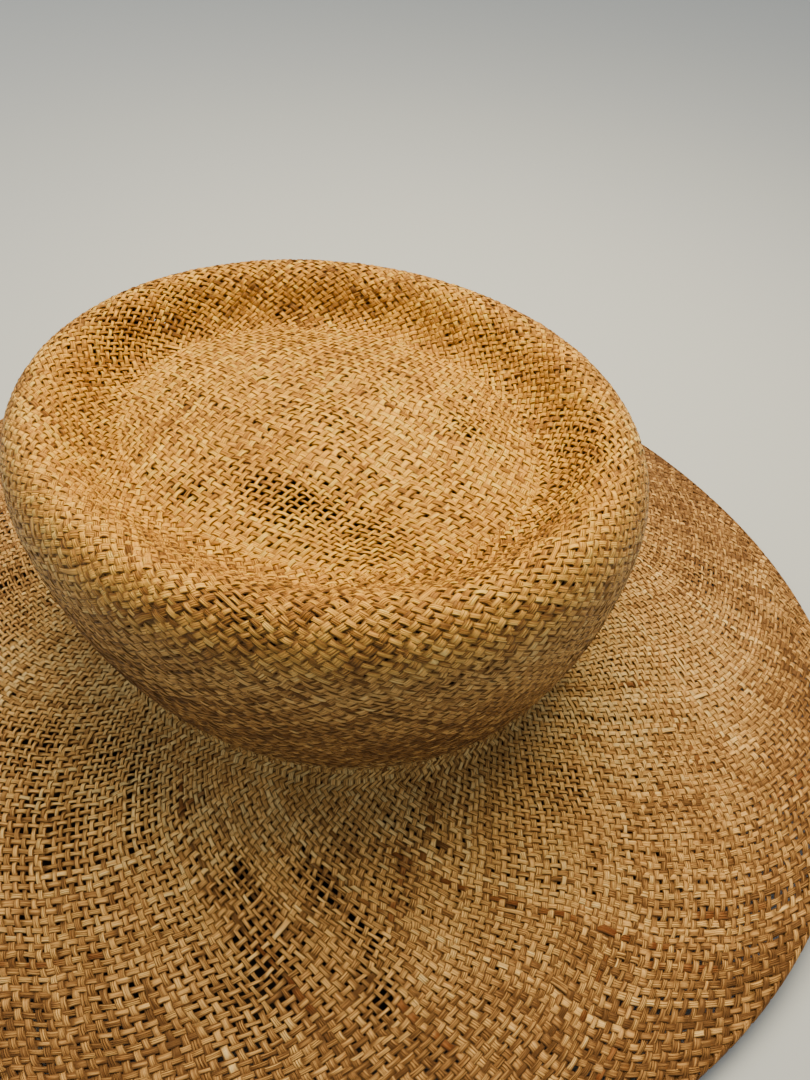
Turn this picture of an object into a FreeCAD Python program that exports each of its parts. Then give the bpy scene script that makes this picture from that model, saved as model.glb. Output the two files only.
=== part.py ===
import FreeCAD, Part
import math
import os

import Sketcher
from FreeCAD import Vector

# A hand-plaited straw sun hat, in millimetres, standing on its brim.
# X runs from the back of the head to the front, Y across it, Z up.
# The origin lies on the surface that the hat rests on, under the middle of the crown.

doc = FreeCAD.newDocument("straw_hat")


# ---------------------------------------------------------------- sizes

SIZES = [
    # the oval of the crease, where wall and brim meet, measured outside the straw
    ("head_length", 196.0, "front to back at the crease"),
    ("head_oval", 28.0, "how much longer than wide the crease is"),
    # the blocked crown
    ("wall_height", 68.0, "shoulder, where the crown is widest, above the crease"),
    ("wall_flare", 12.4, "shoulder outside the crease"),
    ("rim_height", 23.0, "crest of the rim above the shoulder"),
    ("rim_inset", 13.8, "crest inside the shoulder"),
    ("dish_width", 23.0, "slope into the dish, from the crest to its bottom"),
    ("dish_depth", 14.8, "bottom of the dish below the crest"),
    ("tip_rise", 4.0, "middle of the tip above the bottom of the dish"),
    ("tip_gap", 0.15, "between the tip and the slope round it"),
    ("straw_thickness", 1.6, "one plaited layer, a strip over a strip"),
    # the brim
    ("brim_length", 419.0, "front to back over the brim"),
    ("brim_oval", 22.0, "how much longer than wide the brim is"),
    ("crease_height", 29.0, "crease above the surface that the hat rests on"),
    ("crease_radius", 5.0, "turn from the wall into the brim"),
    ("brim_droop", 0.25, "share of the fall that comes late, towards the edge"),
    ("end_lift", 13.0, "edge above the resting surface at the front and the back"),
    ("side_lift", 0.4, "edge above the resting surface at the two sides"),
    ("edge_width", 8.0, "strip along the edge where the strands turn back"),
    ("edge_thickness", 2.4, "the turned-back strands on top of each other"),
    # the sweatband inside the crown
    ("band_height", 32.0, "height of the ribbon"),
    ("band_thickness", 1.0, "thickness of the ribbon"),
    ("band_gap", 0.2, "between the straw and the foot of the ribbon"),
    ("band_start", 1.0, "foot of the ribbon above the crease"),
    ("band_lean", 3.0, "how far the ribbon's top stands out past its foot"),
    ("band_slit", 0.6, "between the two ends of the ribbon at the back"),
    ("join_width", 14.0, "width of the tape over the two ends of the ribbon"),
    ("join_thickness", 0.8, "thickness of the tape"),
    # the thread
    ("thread", 0.8, "thickness of the sewing thread"),
    ("stitch_length", 4.5, "one stitch"),
    ("stitch_count", 72.0, "stitches round the ribbon's foot"),
    ("stitch_height", 4.0, "stitches above the ribbon's foot"),
    ("join_stitch_count", 5.0, "stitches up each side of the tape"),
    ("seat_gap", 0.05, "between a stitch and the cloth that it lies on"),
]

sheet = doc.addObject("Spreadsheet::Sheet", "Sizes")
for row, (alias, value, meaning) in enumerate(SIZES, start=1):
    sheet.set(f"A{row}", alias)
    sheet.set(f"B{row}", str(value))
    sheet.set(f"C{row}", meaning)
    sheet.setAlias(f"B{row}", alias)
doc.recompute()


def size(alias):
    """The number in one cell of the sheet."""
    return float(sheet.get(alias))


def oval_point(length, oval, angle):
    """A point of a level oval, as plan coordinates."""
    return Vector(length / 2 * math.cos(angle), (length - oval) / 2 * math.sin(angle), 0)


def crease_point(angle, out):
    """A plan point, out outside the oval of the crease and square to it."""
    point = oval_point(size("head_length"), size("head_oval"), angle)
    length = size("head_length")
    normal = Vector((length - size("head_oval")) * math.cos(angle), length * math.sin(angle), 0)
    return point + normal.normalize() * out


def body_plane(body, role):
    """One of a body's own origin planes."""
    return next(item for item in body.Origin.OriginFeatures if item.Role == role)


def bind(sketch, name, constraint, formula):
    """Add one constraint to a sketch and bind it to the sheet."""
    index = sketch.addConstraint(constraint)
    sketch.renameConstraint(index, name)
    sketch.setExpression(f"Constraints.{name}", formula)


def crease_oval(body, name):
    """The oval of the crease as a sketch: the path that every ring-shaped piece follows."""
    path = body.newObject("Sketcher::SketchObject", name)
    path.AttachmentSupport = (body_plane(body, "XY_Plane"), [""])
    path.MapMode = "FlatFace"
    path.setExpression(".AttachmentOffset.Base.z", "Sizes.crease_height")
    half_length = size("head_length") / 2
    half_width = half_length - size("head_oval") / 2
    path.addGeometry(Part.Ellipse(Vector(0, 0, 0), half_length, half_width), False)
    path.exposeInternalGeometry(0)
    path.addConstraint(Sketcher.Constraint("Coincident", 0, 3, -1, 1))
    path.addConstraint(Sketcher.Constraint("Horizontal", 1))
    bind(path, "length", Sketcher.Constraint("Distance", 1, 1, 1, 2, 2 * half_length),
         "Sizes.head_length")
    bind(path, "width", Sketcher.Constraint("Distance", 2, 1, 2, 2, 2 * half_width),
         "Sizes.head_length - Sizes.head_oval")
    return path


def profile_sketch(body, name):
    """An empty sketch of a cross-section at the front of the oval, X out and Y up."""
    profile = body.newObject("Sketcher::SketchObject", name)
    profile.AttachmentSupport = (body_plane(body, "XZ_Plane"), [""])
    profile.MapMode = "FlatFace"
    return profile


def sweep(body, name, profile):
    """Sweep a cross-section round the oval of the crease."""
    path = crease_oval(body, f"{name}_path")
    pipe = body.newObject("PartDesign::AdditivePipe", name)
    pipe.Profile = profile
    pipe.Spine = (path, ["Edge1"])
    return pipe


# ---------------------------------------------------------------- crown wall
#
# The wall bows outwards from the crease to the shoulder, where it stands upright.

def wall_profile(body):
    """Two arcs about one centre, closed by a level line at the foot and at the shoulder."""
    profile = profile_sketch(body, "wall_profile")
    foot = Vector(size("head_length") / 2, size("crease_height"), 0)
    high = size("wall_height")
    flare = size("wall_flare")
    thick = size("straw_thickness")
    radius = (high ** 2 + flare ** 2) / (2 * flare)
    centre = foot + Vector(flare - radius, high, 0)
    for bow in (radius, radius - thick):
        start = math.asin(-high / bow)
        profile.addGeometry(Part.ArcOfCircle(Part.Circle(centre, Vector(0, 0, 1), bow), start, 0), False)
    shoulder = foot + Vector(flare, high, 0)
    inner_foot = centre + Vector(math.sqrt((radius - thick) ** 2 - high ** 2), -high, 0)
    profile.addGeometry(Part.LineSegment(foot, inner_foot), False)
    profile.addGeometry(Part.LineSegment(shoulder, shoulder - Vector(thick, 0, 0)), False)
    outer, inner, foot_line, top_line = range(4)
    profile.addConstraint([
        Sketcher.Constraint("Coincident", outer, 1, foot_line, 1),
        Sketcher.Constraint("Coincident", inner, 1, foot_line, 2),
        Sketcher.Constraint("Coincident", outer, 2, top_line, 1),
        Sketcher.Constraint("Coincident", inner, 2, top_line, 2),
        Sketcher.Constraint("Coincident", outer, 3, inner, 3),
        Sketcher.Constraint("Horizontal", outer, 3, outer, 2),
        Sketcher.Constraint("Horizontal", foot_line),
        Sketcher.Constraint("Horizontal", top_line),
    ])
    bind(profile, "foot_out", Sketcher.Constraint("DistanceX", -1, 1, outer, 1, foot.x),
         "Sizes.head_length / 2")
    bind(profile, "foot_up", Sketcher.Constraint("DistanceY", -1, 1, outer, 1, foot.y),
         "Sizes.crease_height")
    bind(profile, "flare", Sketcher.Constraint("DistanceX", outer, 1, outer, 2, flare),
         "Sizes.wall_flare")
    bind(profile, "height", Sketcher.Constraint("DistanceY", outer, 1, outer, 2, high),
         "Sizes.wall_height")
    bind(profile, "thickness", Sketcher.Constraint("DistanceX", top_line, 2, top_line, 1, thick),
         "Sizes.straw_thickness")
    return profile


crown_wall = doc.addObject("PartDesign::Body", "crown_wall")
sweep(crown_wall, "wall", wall_profile(crown_wall))


# ---------------------------------------------------------------- crown rim and dish slope
#
# The rim rolls over from the shoulder to the crest, and an S-shaped slope goes on from
# there down into the dish. Both cross-sections are made of free curves at the front of
# the crown and are swept round the crease's oval.

ROUND = 0.5523
EASE = 0.45


def curve(*poles):
    """One free curve, pulled by its four poles."""
    bend = Part.BezierCurve()
    bend.setPoles(list(poles))
    return bend.toShape()


def line(start, end):
    """One straight edge."""
    return Part.LineSegment(start, end).toShape()


def crest_point():
    """The crest at the front of the crown."""
    out = size("head_length") / 2 + size("wall_flare") - size("rim_inset")
    return Vector(out, 0, size("crease_height") + size("wall_height") + size("rim_height"))


def rim_section():
    """The roll from the shoulder up to the crest, one layer thick."""
    thick = size("straw_thickness")
    rise = size("rim_height")
    inset = size("rim_inset")
    crest = crest_point()
    shoulder = crest + Vector(inset, 0, -rise)
    inner_shoulder = shoulder - Vector(thick, 0, 0)
    inner_crest = crest - Vector(0, 0, thick)
    return Part.Wire([
        curve(shoulder, shoulder + Vector(0, 0, rise * ROUND), crest + Vector(inset * ROUND, 0, 0), crest),
        line(crest, inner_crest),
        curve(inner_crest, inner_crest + Vector((inset - thick) * ROUND, 0, 0),
              inner_shoulder + Vector(0, 0, (rise - thick) * ROUND), inner_shoulder),
        line(inner_shoulder, shoulder),
    ])


def slope_section():
    """The S from the crest down to the bottom of the dish, level at both ends."""
    thick = Vector(0, 0, size("straw_thickness"))
    slope = size("dish_width")
    crest = crest_point()
    valley = crest - Vector(slope, 0, size("dish_depth"))
    level = Vector(slope * EASE, 0, 0)
    return Part.Wire([
        curve(crest, crest - level, valley + level, valley),
        line(valley, valley - thick),
        curve(valley - thick, valley - thick + level, crest - thick - level, crest - thick),
        line(crest - thick, crest),
    ])


def swept_round(section):
    """A cross-section swept round the oval of the crease."""
    half_length = size("head_length") / 2
    half_width = half_length - size("head_oval") / 2
    centre = Vector(0, 0, size("crease_height"))
    path = Part.Wire([Part.Ellipse(centre, half_length, half_width).toShape()])
    return path.makePipeShell([section], True, False)


def formed_piece(name, shape):
    """A piece whose shape is made by the functions above it."""
    piece = doc.addObject("Part::Feature", name)
    piece.Shape = shape
    piece.Placement = FreeCAD.Placement()
    return piece


crown_rim = formed_piece("crown_rim", swept_round(rim_section()))
dish_slope = formed_piece("dish_slope", swept_round(slope_section()))


# ---------------------------------------------------------------- crown tip
#
# The tip is a very shallow dome that fills the bottom of the dish: a round cap of
# even thickness, drawn narrower across the hat.

def make_tip():
    """The cap's half section turned round the middle of the crown and made oval."""
    thick = Vector(0, 0, size("straw_thickness"))
    rise = size("tip_rise")
    long = crest_point().x - size("dish_width") - size("tip_gap")
    wide = long - size("head_oval") / 2
    foot = crest_point().z - size("dish_depth")
    radius = (long ** 2 + rise ** 2) / (2 * rise)
    half_way = radius - math.sqrt(radius ** 2 - (long / 2) ** 2)
    middle = Vector(0, 0, foot + rise)
    between = Vector(long / 2, 0, foot + rise - half_way)
    border = Vector(long, 0, foot)
    section = Part.Wire([
        Part.Arc(middle, between, border).toShape(),
        line(border, border - thick),
        Part.Arc(border - thick, between - thick, middle - thick).toShape(),
        line(middle - thick, middle),
    ])
    cap = Part.Face(section).revolve(Vector(0, 0, 0), Vector(0, 0, 1), 360)
    narrower = FreeCAD.Matrix()
    narrower.scale(1, wide / long, 1)
    return cap.transformGeometry(narrower)


crown_tip = formed_piece("crown_tip", make_tip())


# ---------------------------------------------------------------- brim
#
# The brim leaves the wall in a tight turn, falls away ever more steeply and ends
# in a waved edge. Its two faces are lofted through rings that follow the wave, which
# no level sketch can hold.

RING_STEPS = 48


def edge_wave(angle):
    """Height of the edge's underside above the resting surface, all round the brim.

    Two waves are added: one lifts the front and the back, and one makes four low
    places, on which the hat rests.
    """
    end = size("end_lift")
    side = size("side_lift")
    two = (end - side) / 2
    four = (math.sqrt(end) + math.sqrt(side)) ** 2 / 8
    level = (end + side) / 2 - four
    return level + two * math.cos(2 * angle) + four * math.cos(4 * angle)


def turn_point(angle, turn, depth):
    """A point on the tight turn from the wall into the brim.

    turn grows from nothing, where the face is upright, and depth counts from the
    top face into the straw.
    """
    radius = size("crease_radius")
    point = crease_point(angle, radius - (radius + depth) * math.cos(turn))
    point.z = size("crease_height") - (radius + depth) * math.sin(turn)
    return point


def edge_point(angle, depth):
    """A point where the brim's flat part ends and the round nose begins."""
    point = oval_point(size("brim_length") - size("edge_thickness"), size("brim_oval"), angle)
    point.z = edge_wave(angle) + size("edge_thickness") - depth
    return point


def fall_point(angle, share, depth):
    """A point on the falling part of the brim, share 0 at the turn and 1 at the nose."""
    start = turn_point(angle, last_turn(), depth)
    edge = edge_point(angle, depth)
    late = size("brim_droop")
    point = start + (edge - start) * share
    point.z = start.z + (edge.z - start.z) * ((1 - late) * share + late * share ** 2)
    return point


def last_turn():
    """How far the wall turns before it falls straight away as the brim."""
    run = (size("brim_length") - size("head_length")) / 2
    slope = math.atan(size("crease_height") / run * (1 - size("brim_droop")))
    return math.pi / 2 - slope


def share_before_edge(angle, inset):
    """The share of the falling part that lies inset short of the nose."""
    start = turn_point(angle, last_turn(), 0)
    edge = edge_point(angle, 0)
    return 1 - inset / math.hypot(edge.x - start.x, edge.y - start.y)


def nose_point(angle, turn):
    """A point on the nose, where the strands turn back: turn 0 on top, pi underneath."""
    half = size("edge_thickness") / 2
    outward = Vector(math.cos(angle), math.sin(angle), 0) * half * math.sin(turn)
    return edge_point(angle, half) + outward + Vector(0, 0, half * math.cos(turn))


def ring(point_at):
    """A smooth closed wire through the points of one ring."""
    angles = [2 * math.pi * step / RING_STEPS for step in range(RING_STEPS)]
    curve = Part.BSplineCurve()
    curve.interpolate(Points=[point_at(angle) for angle in angles], PeriodicFlag=True)
    return Part.Wire([curve.toShape()])


def skin(rings):
    """A smooth face through some rings, one inside the other."""
    return Part.makeLoft(rings, False, False, False, 3)


def closed_solid(*shapes):
    """The solid inside some faces that meet edge to edge."""
    shell = Part.makeShell([face for shape in shapes for face in shape.Faces])
    shell.sewShape()
    solid = Part.makeSolid(Part.Shell(shell.Faces))
    if solid.Volume < 0:
        solid.reverse()
    return solid


def make_brim():
    """The brim's plaited sheet, without its turned-back edge."""

    def rings(depth):
        turns = [ring(lambda angle: turn_point(angle, last_turn() * share, depth))
                 for share in (0, 1 / 2, 1)]
        falls = [ring(lambda angle: fall_point(
            angle, share * share_before_edge(angle, size("edge_width")), depth))
            for share in (0.1, 0.25, 0.5, 0.75, 1)]
        return turns + falls

    top = rings(0)
    under = rings(size("straw_thickness"))
    return closed_solid(skin(top), skin(under),
                        Part.makeRuledSurface(top[0], under[0]),
                        Part.makeRuledSurface(top[-1], under[-1]))


def make_brim_edge():
    """The thicker strip along the edge, with the round nose where the strands turn back."""
    thick = size("edge_thickness")

    def flat(inset, depth):
        return ring(lambda angle: fall_point(angle, share_before_edge(angle, inset), depth))

    def nose(turn):
        return ring(lambda angle: nose_point(angle, turn))

    inner = size("edge_width")
    rings = [flat(inner, 0), flat(inner / 2, 0),
             *[nose(math.pi * step / 4) for step in range(5)],
             flat(inner / 2, thick), flat(inner, thick)]
    return closed_solid(skin(rings), Part.makeRuledSurface(rings[0], rings[-1]))


brim = formed_piece("brim", make_brim())
brim_edge = formed_piece("brim_edge", make_brim_edge())


# ---------------------------------------------------------------- sweatband
#
# A ribbon stands inside the foot of the wall, leaning out less than the wall does.
# Its two ends meet at the back, and a short tape over them holds them together.

def ribbon_point(angle, height, depth):
    """A point of the ribbon, height above its foot and depth inside its outer face."""
    lean = size("band_lean") * height / size("band_height")
    point = crease_point(angle, lean - size("straw_thickness") - size("band_gap") - depth)
    point.z = size("crease_height") + size("band_start") + height
    return point


def bent_strip(first, last, depth, thickness):
    """An upright strip bent round inside the wall, from one angle to another."""
    high = size("band_height")
    inner = depth + thickness
    corners = [ribbon_point(first, height, inward)
               for height, inward in ((0, depth), (high, depth), (high, inner), (0, inner))]
    section = Part.makePolygon(corners + corners[:1])
    half_length = size("head_length") / 2
    half_width = half_length - size("head_oval") / 2
    oval = Part.Ellipse(Vector(0, 0, size("crease_height")), half_length, half_width)
    path = Part.Wire([Part.ArcOfEllipse(oval, first, last).toShape()])
    return path.makePipeShell([section], True, False)


def angle_aside(distance):
    """The angle from the middle of the back to a place that far to one side."""
    return math.asin(distance / ribbon_point(math.pi / 2, 0, 0).y)


slit = angle_aside(size("band_slit") / 2)
sweatband = formed_piece("sweatband", bent_strip(
    slit - math.pi, math.pi - slit, 0, size("band_thickness")))
flap = angle_aside(size("join_width") / 2)
sweatband_join = formed_piece("sweatband_join", bent_strip(
    math.pi - flap, math.pi + flap, size("band_thickness"), size("join_thickness")))


# ---------------------------------------------------------------- thread
#
# The ribbon is sewn to the straw by one row of running stitches along its foot, and
# the tape by a row up each of its sides. Each stitch is a short length of thread.

def stitch(angle, height, depth, upright):
    """One stitch on a face of the ribbon or tape, at an angle round it and a height up it."""
    lift = size("thread") / 2 + size("seat_gap")
    middle = ribbon_point(angle, height, depth + lift)
    if upright:
        along = ribbon_point(angle, size("band_height"), depth) - ribbon_point(angle, 0, depth)
    else:
        outward = crease_point(angle, 1) - crease_point(angle, 0)
        along = Vector(-outward.y, outward.x, 0)
    along.normalize()
    start = middle - along * (size("stitch_length") / 2)
    return Part.makeCylinder(size("thread") / 2, size("stitch_length"), start, along)


def foot_stitches():
    """Running stitches round the ribbon's foot, as far as the tape on either side."""
    height = size("stitch_height")
    depth = size("band_thickness")
    clear = size("join_width") / 2 + size("stitch_length")
    count = round(size("stitch_count"))
    for number in range(count):
        angle = 2 * math.pi * (number + 0.5) / count
        place = ribbon_point(angle, height, depth)
        if place.x > 0 or abs(place.y) > clear:
            yield stitch(angle, height, depth, False)


def tape_stitches():
    """Upright stitches up both sides of the tape."""
    depth = size("band_thickness") + size("join_thickness")
    count = round(size("join_stitch_count"))
    spacing = size("band_height") / count
    aside = angle_aside(size("join_width") / 2 - 2 * size("thread"))
    for side in (-aside, aside):
        for number in range(count):
            yield stitch(math.pi + side, (number + 0.5) * spacing, depth, True)


sweatband_stitches = formed_piece("sweatband_stitches", Part.makeCompound(list(foot_stitches())))
join_stitches = formed_piece("join_stitches", Part.makeCompound(list(tape_stitches())))


# ---------------------------------------------------------------- writing

PARTS = [crown_tip, dish_slope, crown_rim, crown_wall, brim, brim_edge,
         sweatband, sweatband_join, sweatband_stitches, join_stitches]

doc.recompute()
for item in doc.Objects:
    if "Invalid" in item.State or "Error" in item.State:
        raise RuntimeError(f"{item.Label} did not build")
for part in PARTS:
    if part.Shape.isNull() or not part.Shape.isValid() or not part.Shape.Solids:
        raise RuntimeError(f"{part.Label} has no valid solid")

os.makedirs("parts", exist_ok=True)
for part in PARTS:
    part.Shape.exportStep(f"parts/{part.Label}.step")
    print(f"{part.Label}: {len(part.Shape.Solids)} solids, {part.Shape.Volume:.1f} mm3")
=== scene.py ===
import math

import bmesh
import bpy
import numpy as np
from mathutils import Matrix, Vector


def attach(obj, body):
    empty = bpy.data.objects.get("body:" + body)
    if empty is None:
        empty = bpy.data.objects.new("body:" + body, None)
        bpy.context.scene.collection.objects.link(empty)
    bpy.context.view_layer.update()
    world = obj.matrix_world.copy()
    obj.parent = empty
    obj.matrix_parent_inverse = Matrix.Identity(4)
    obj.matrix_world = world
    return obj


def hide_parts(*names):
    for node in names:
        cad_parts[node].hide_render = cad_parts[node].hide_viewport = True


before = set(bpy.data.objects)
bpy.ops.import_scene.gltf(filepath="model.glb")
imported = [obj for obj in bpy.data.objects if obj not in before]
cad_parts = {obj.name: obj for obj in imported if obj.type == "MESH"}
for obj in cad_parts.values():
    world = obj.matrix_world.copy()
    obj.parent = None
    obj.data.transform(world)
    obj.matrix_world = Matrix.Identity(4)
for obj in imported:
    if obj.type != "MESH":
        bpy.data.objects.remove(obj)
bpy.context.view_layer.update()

# ---------------------------------------------------------------- camera
#
# The hat is seen from above, from its right side and a little from the front, close enough
# for the brim to run out of the picture at the left and at the bottom.

CREASE_HEIGHT = 29.0  # in millimetres, as every size of the hat here
CAMERA_AZIMUTH = math.radians(29.86)
CAMERA_ELEVATION = math.radians(50.72)
CAMERA_DISTANCE = 0.31495  # metres from the middle of the crease
CAMERA_ROLL = math.radians(-2.96)
LOOK_RIGHT = math.radians(5.46)
LOOK_DOWN = math.radians(-2.37)
FOCAL_LENGTH, SENSOR_WIDTH = 25.18, 36.0


def camera_axes():
    """The way from the hat to the camera, and the camera's own right, up and backward."""
    backward = Vector((math.sin(CAMERA_AZIMUTH) * math.cos(CAMERA_ELEVATION),
                       -math.cos(CAMERA_AZIMUTH) * math.cos(CAMERA_ELEVATION),
                       math.sin(CAMERA_ELEVATION)))
    level = Vector((0, 0, 1)).cross(backward).normalized()
    upward = backward.cross(level)
    right = math.cos(CAMERA_ROLL) * level + math.sin(CAMERA_ROLL) * upward
    up = -math.sin(CAMERA_ROLL) * level + math.cos(CAMERA_ROLL) * upward
    turn = Matrix.Rotation(LOOK_RIGHT, 3, "Y") @ Matrix.Rotation(LOOK_DOWN, 3, "X")
    return backward, turn @ Matrix((right, up, backward))


away, rows = camera_axes()
camera = bpy.data.objects.new("camera", bpy.data.cameras.new("camera"))
camera.data.lens = FOCAL_LENGTH
camera.data.sensor_width = SENSOR_WIDTH
camera.data.clip_start = 0.01
camera.matrix_world = Matrix.Translation(
    Vector((0, 0, CREASE_HEIGHT / 1000)) + away * CAMERA_DISTANCE) @ rows.transposed().to_4x4()
bpy.context.scene.collection.objects.link(camera)
bpy.context.scene.camera = camera


# ---------------------------------------------------------------- floor and light
#
# A plain pale floor curves up far behind. Under the hat it is painted dark, a painted shadow
# that makes the holes of the brim look dark. A warm lamp is almost above, a broad window far
# behind, and a weak light on the left. The side of the crown that faces the camera stays in shade.

FLOOR_HALF, FLOOR_FLAT, FLOOR_BEND = 4.0, 1.6, 0.35
# the floor's pale colour, and the painted shadow's colour under the hat
FLOOR_PALE, FLOOR_PAINTED_SHADOW = (0.55, 0.61, 0.68), (0.030, 0.020, 0.012)
PAINTED_SHADOW_TO, PALE_FROM = 0.160, 0.185  # metres from under the middle of the hat
ROOM_COLOUR, ROOM_STRENGTH = (0.90, 0.88, 0.83, 1), 0.45
LAMPS = (  # name, place, size, power in watts, colour
    ("lamp", (-0.02, 0.18, 0.60), 0.42, 6.2, (1.0, 0.80, 0.48)),
    ("window", (0.25, 0.90, 1.75), 0.9, 10, (1.0, 0.86, 0.62)),
    ("fill", (-1.1, 0.20, 1.35), 1.2, 8, (1.0, 0.92, 0.78)))
LAMPS_FACE = (0, 0, 0.08)


class Paint:
    """A material's nodes, put together with few words."""

    def __init__(self, name):
        self.material = bpy.data.materials.new(name)
        self.material.use_nodes = True
        self.nodes = self.material.node_tree.nodes
        self.links = self.material.node_tree.links
        self.shader = self.nodes["Principled BSDF"]

    def put(self, kind, inputs=(), **settings):
        """A new node, with its first inputs linked or set."""
        made = self.nodes.new(kind)
        for key, value in settings.items():
            setattr(made, key, value)
        self.feed(made.inputs, inputs)
        return made

    def feed(self, sockets, values):
        """Link sockets to other nodes, or set them to numbers."""
        for socket, value in zip(sockets, values):
            if isinstance(value, bpy.types.NodeSocket):
                self.links.new(value, socket)
            else:
                socket.default_value = value

    def math(self, operation, *values):
        """One sum, its values numbers or sockets."""
        return self.put("ShaderNodeMath", values, operation=operation).outputs[0]

    def mix(self, factor, first, second):
        """One colour turning into another."""
        made = self.put("ShaderNodeMix", data_type="RGBA")
        self.feed((made.inputs[0], made.inputs[6], made.inputs[7]), (factor, first, second))
        return made.outputs[2]

    def parts(self, attribute):
        """The vector and the three numbers of an attribute."""
        held = self.put("ShaderNodeAttribute", attribute_name=attribute)
        apart = self.put("ShaderNodeSeparateXYZ", (held.outputs["Vector"],))
        return (held.outputs["Vector"], *apart.outputs)

    def noise(self, vector, scales, detail, shift):
        """Noise that is stretched differently each way."""
        scaled = self.put("ShaderNodeVectorMath", (vector, scales), operation="MULTIPLY")
        moved = self.put("ShaderNodeVectorMath", (scaled.outputs[0], (shift, shift * 1.7, shift)),
                         operation="ADD")
        made = self.put("ShaderNodeTexNoise")
        self.links.new(moved.outputs[0], made.inputs["Vector"])
        made.inputs["Scale"].default_value = 1.0
        made.inputs["Detail"].default_value = detail
        return made.outputs["Fac"]

    def ramp(self, value, *stops):
        """A colour for each value, from stops of a place and a colour."""
        made = self.put("ShaderNodeValToRGB", (value,))
        elements = made.color_ramp.elements
        while len(elements) < len(stops):
            elements.new(0.5)
        for element, (place, colour) in zip(elements, stops):
            element.position, element.color = place, (*colour, 1)
        return made.outputs[0]

    def wear(self, height, strength, distance):
        """Raise the surface by a height."""
        made = self.put("ShaderNodeBump")
        made.inputs["Strength"].default_value = strength
        made.inputs["Distance"].default_value = distance
        self.links.new(height, made.inputs["Height"])
        self.links.new(made.outputs[0], self.shader.inputs["Normal"])


def floor_material():
    """Matt pale paint, with a painted shadow where the hat covers it."""
    paint = Paint("pale_floor")
    paint.shader.inputs["Roughness"].default_value = 0.9
    place = paint.put("ShaderNodeTexCoord").outputs["Object"]
    far = paint.put("ShaderNodeVectorMath", (place,), operation="LENGTH").outputs["Value"]
    shade = paint.ramp(far, (PAINTED_SHADOW_TO, FLOOR_PAINTED_SHADOW), (PALE_FROM, FLOOR_PALE))
    paint.links.new(shade, paint.shader.inputs["Base Color"])
    return paint.material


def as_mesh(bm, name):
    """A mesh from a bmesh that is done with."""
    mesh = bpy.data.meshes.new(name)
    bm.to_mesh(mesh)
    bm.free()
    return mesh


def add_floor():
    """A square sheet, bent up at its edges."""
    bm = bmesh.new()
    bmesh.ops.create_grid(bm, x_segments=60, y_segments=60, size=FLOOR_HALF)
    for vertex in bm.verts:
        far = max(0.0, vertex.co.xy.length - FLOOR_FLAT)
        vertex.co.z = FLOOR_BEND * far ** 2
    mesh = as_mesh(bm, "floor")
    mesh.shade_smooth()
    floor = bpy.data.objects.new("floor", mesh)
    bpy.context.scene.collection.objects.link(floor)
    floor.data.materials.append(floor_material())


def add_area(name, place, size, power, colour):
    """A square soft light that faces the crown."""
    lamp = bpy.data.lights.new(name, "AREA")
    lamp.size = size
    lamp.energy = power
    lamp.color = colour
    light = bpy.data.objects.new(name, lamp)
    light.location = place
    towards = Vector(LAMPS_FACE) - Vector(place)
    light.rotation_euler = towards.to_track_quat("-Z", "Y").to_euler()
    bpy.context.scene.collection.objects.link(light)


add_floor()
for lamp in LAMPS:
    add_area(*lamp)
world = bpy.data.worlds.new("room")
world.use_nodes = True
world.node_tree.nodes["Background"].inputs["Color"].default_value = ROOM_COLOUR
world.node_tree.nodes["Background"].inputs["Strength"].default_value = ROOM_STRENGTH
bpy.context.scene.world = world


# ---------------------------------------------------------------- tip
#
# The weaver starts here, with flat leaf strips laid square, over one and under one. Towards
# the border the square work is bent round, so one set runs round the tip and the other runs
# out of it, with mitres at four places. It is pressed into a shallow dome.

MM = 0.001
TIP_LONG, TIP_WIDE, TIP_RISE = 73.45, 59.45, 4.0  # half its length and width, its dome
TIP_HEIGHT = 105.2
TIP_COLUMNS, TIP_ROWS = 54, 48
TIP_TURN = math.radians(-10)
TIP_FILL, TIP_TIGHT = 0.86, 0.6
SQUARE_CORE, SQUARE_FADE = 0.32, 0.68  # where the square work begins to bend
ROUNDED, CORE_SPREAD = 0.76, 1.02
TIP_DIVE = 1.1
TIP_OPEN = (  # x, y, reach in x and in y, how open
    (8, -36, 16, 12, 1.1), (-3, -36, 13, 8, 1.0), (30, -37, 14, 9, 0.8), (19, -34, 14, 11, 0.9),
    (-5, 2, 20, 16, 0.35), (-23, -46, 6, 6, 0.8), (43, 20, 7, 7, 0.7), (-48, -6, 9, 12, 0.4))
STEPS = 3  # pieces of a strip between crossings
QUICK = 1.8  # how steeply a strip goes from over to under
STRIP_THICK, BEVEL = 0.30, 0.14
LIFT, MIDDLE = 0.34, 0.84  # over and under, and the plait's depth
LOOSE_NARROWER, OVER_NARROWER, TIGHT_FLATTER = 0.42, 0.10, 0.5
LEAF_APART, NOISE_APART = 37.0, 3.7  # so that no two strips have the same fibres

dice = np.random.default_rng(7)


def wander(count, steps, every):
    """Smooth random numbers along each of some strips, new ones every few steps."""
    knots = dice.normal(size=(count, steps // every + 3))
    place = np.arange(steps + 1) / every
    whole = place.astype(int)
    ease = (1 - np.cos(math.pi * (place - whole))) / 2
    return knots[:, whole] * (1 - ease) + knots[:, whole + 1] * ease


def over_under(signs, steps):
    """Each strip's height all along: 1 over the other set, -1 under it, quick between."""
    place = np.arange(steps + 1) / STEPS
    near = np.minimum(place.astype(int), steps // STEPS - 1)
    ease = np.clip((place - near - 0.5) * QUICK + 0.5, 0, 1)
    return signs[:, near] * (1 - ease) + signs[:, near + 1] * ease


def unit(vectors):
    """The same directions, one long."""
    return vectors / np.linalg.norm(vectors, axis=-1, keepdims=True)


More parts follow.
